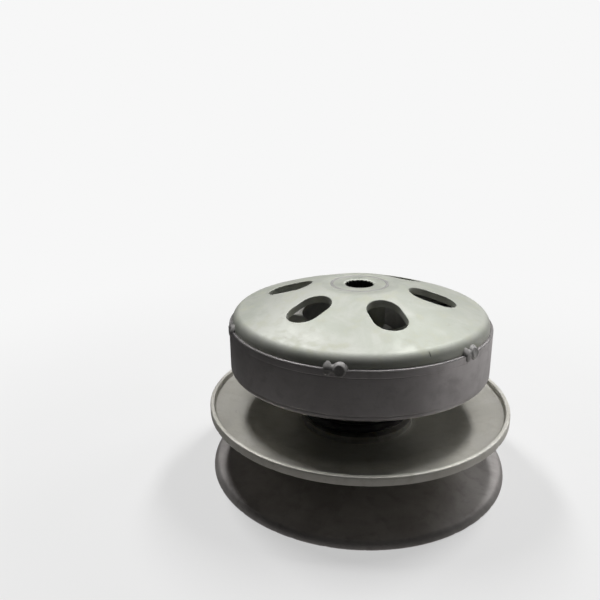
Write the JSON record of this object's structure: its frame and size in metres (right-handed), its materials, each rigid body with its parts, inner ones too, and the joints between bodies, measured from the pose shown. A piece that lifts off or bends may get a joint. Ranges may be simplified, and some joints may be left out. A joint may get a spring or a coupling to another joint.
{
  "type": "scooter driven pulley with centrifugal clutch",
  "caption": "Driven pulley of a belt drive: fixed and sliding conical faces on a boss, cam sleeve, contra spring, centrifugal clutch and a domed, banded clutch bell with a splined hub.",
  "frame": {"origin": "on the shaft axis, in the plane that the fixed face's rim rests on", "axes": "+Z along the shaft, from the fixed face up to the clutch bell; -Y is the front; +X is to its right"},
  "size_m": [0.1588, 0.1588, 0.0999],
  "materials": {
    "fixed_face_steel": "satin, dark phosphate with a polished rim",
    "movable_face_steel": "satin, light phosphate with a bright lip",
    "bell_steel": "satin, blasted and phosphated",
    "band_steel": "satin, turned and oil-blackened",
    "weld_metal": "as welded",
    "machined_steel": "fine turned",
    "bearing_steel": "ground and polished",
    "cage_brass": "satin",
    "spring_steel": "black, semi-gloss",
    "small_spring_steel": "drawn wire",
    "zinc_plate": "passivated zinc",
    "shoe_aluminium": "as cast",
    "friction_lining": "moulded friction compound",
    "black_rubber": "matt",
    "brown_rubber": "matt",
    "black_plastic": "moulded"
  },
  "bodies": {
    "driven_face": {"fixed_driven_disc": "fixed_face_steel", "driven_face_boss": "machined_steel", "disc_rivets": "machined_steel", "guide_pins": "bearing_steel", "bearing_outer_ring": "bearing_steel", "bearing_seal": "black_rubber", "bearing_snap_ring": "spring_steel", "needle_shell": "bearing_steel", "contra_spring": "spring_steel", "upper_spring_seat": "black_plastic", "clutch_drive_plate": "zinc_plate", "clutch_nut": "machined_steel", "pivot_pins": "machined_steel", "damper_posts": "machined_steel", "damper_rubbers": "black_rubber", "clutch_side_plate": "zinc_plate", "pivot_clips": "spring_steel"},
    "spring_collar": {"seal_collar": "zinc_plate"},
    "movable_face": {"movable_driven_disc": "movable_face_steel", "cam_sleeve": "machined_steel", "sleeve_oil_seals": "brown_rubber", "collar_o_rings": "black_rubber"},
    "roller_1": {"guide_roller_1": "bearing_steel"},
    "roller_2": {"guide_roller_2": "bearing_steel"},
    "roller_3": {"guide_roller_3": "bearing_steel"},
    "clutch_shoe_1": {"shoe_1": "shoe_aluminium", "shoe_lining_1": "friction_lining", "shoe_spring_1": "small_spring_steel"},
    "clutch_shoe_2": {"shoe_2": "shoe_aluminium", "shoe_lining_2": "friction_lining", "shoe_spring_2": "small_spring_steel"},
    "clutch_shoe_3": {"shoe_3": "shoe_aluminium", "shoe_lining_3": "friction_lining", "shoe_spring_3": "small_spring_steel"},
    "bell": {"clutch_bell": "bell_steel", "bell_band": "band_steel", "bell_hub": "bell_steel", "bell_welds": "weld_metal"},
    "bearing_inner": {"bearing_inner_ring": "bearing_steel"},
    "ball_set": {"bearing_balls": "bearing_steel", "bearing_cage": "cage_brass"},
    "needle_set": {"needle_cage": "cage_brass", "needle_rollers": "bearing_steel"}
  },
  "joints": [
    {"name": "movable_face_slide", "type": "slide", "parent": "driven_face", "child": "spring_collar", "axis": [0, 0, 1], "range_m": [0, 0.011], "deforming": ["contra_spring"]},
    {"name": "movable_face_turn", "type": "hinge", "parent": "spring_collar", "child": "movable_face", "pos_m": [0, 0, 0.03], "axis": [0, 0, 1], "range_deg": [0, 32.4]},
    {"name": "roller_1_turn", "type": "hinge", "parent": "driven_face", "child": "roller_1", "pos_m": [0.0195, 0, 0.0436], "axis": [1, 0, 0], "range_deg": [0, 255]},
    {"name": "roller_2_turn", "type": "hinge", "parent": "driven_face", "child": "roller_2", "pos_m": [-0.00975, 0.01689, 0.0436], "axis": [-0.5, 0.866, 0], "range_deg": [0, 255]},
    {"name": "roller_3_turn", "type": "hinge", "parent": "driven_face", "child": "roller_3", "pos_m": [-0.00975, -0.01689, 0.0436], "axis": [-0.5, -0.866, 0], "range_deg": [0, 255]},
    {"name": "shoe_1_swing", "type": "hinge", "parent": "driven_face", "child": "clutch_shoe_1", "pos_m": [0.04417, -0.01607, 0.072], "axis": [0, 0, -1], "range_deg": [0, 1.5]},
    {"name": "shoe_2_swing", "type": "hinge", "parent": "driven_face", "child": "clutch_shoe_2", "pos_m": [-0.00816, 0.04629, 0.072], "axis": [0, 0, -1], "range_deg": [0, 1.5]},
    {"name": "shoe_3_swing", "type": "hinge", "parent": "driven_face", "child": "clutch_shoe_3", "pos_m": [-0.036, -0.03021, 0.072], "axis": [0, 0, -1], "range_deg": [0, 1.5]},
    {"name": "bell_spin", "type": "hinge", "parent": "driven_face", "child": "bell", "pos_m": [0, 0, 0.08], "axis": [0, 0, 1], "continuous": true},
    {"name": "bearing_inner_spin", "type": "hinge", "parent": "driven_face", "child": "bearing_inner", "pos_m": [0, 0, 0.0065], "axis": [0, 0, 1], "continuous": true},
    {"name": "ball_set_spin", "type": "hinge", "parent": "driven_face", "child": "ball_set", "pos_m": [0, 0, 0.0065], "axis": [0, 0, 1], "continuous": true},
    {"name": "needle_set_spin", "type": "hinge", "parent": "driven_face", "child": "needle_set", "pos_m": [0, 0, 0.061], "axis": [0, 0, 1], "continuous": true}
  ],
  "couplings": [
    {"joint": "movable_face_turn", "follows": "movable_face_slide", "rad_per_m": 51.249},
    {"joint": "roller_1_turn", "follows": "movable_face_slide", "rad_per_m": 403.93},
    {"joint": "roller_2_turn", "follows": "movable_face_slide", "rad_per_m": 403.93},
    {"joint": "roller_3_turn", "follows": "movable_face_slide", "rad_per_m": 403.93},
    {"joint": "shoe_2_swing", "follows": "shoe_1_swing", "ratio": 1},
    {"joint": "shoe_3_swing", "follows": "shoe_1_swing", "ratio": 1},
    {"joint": "bearing_inner_spin", "follows": "bell_spin", "ratio": 1},
    {"joint": "ball_set_spin", "follows": "bell_spin", "ratio": 0.4191},
    {"joint": "needle_set_spin", "follows": "bell_spin", "ratio": 0.4475}
  ]
}
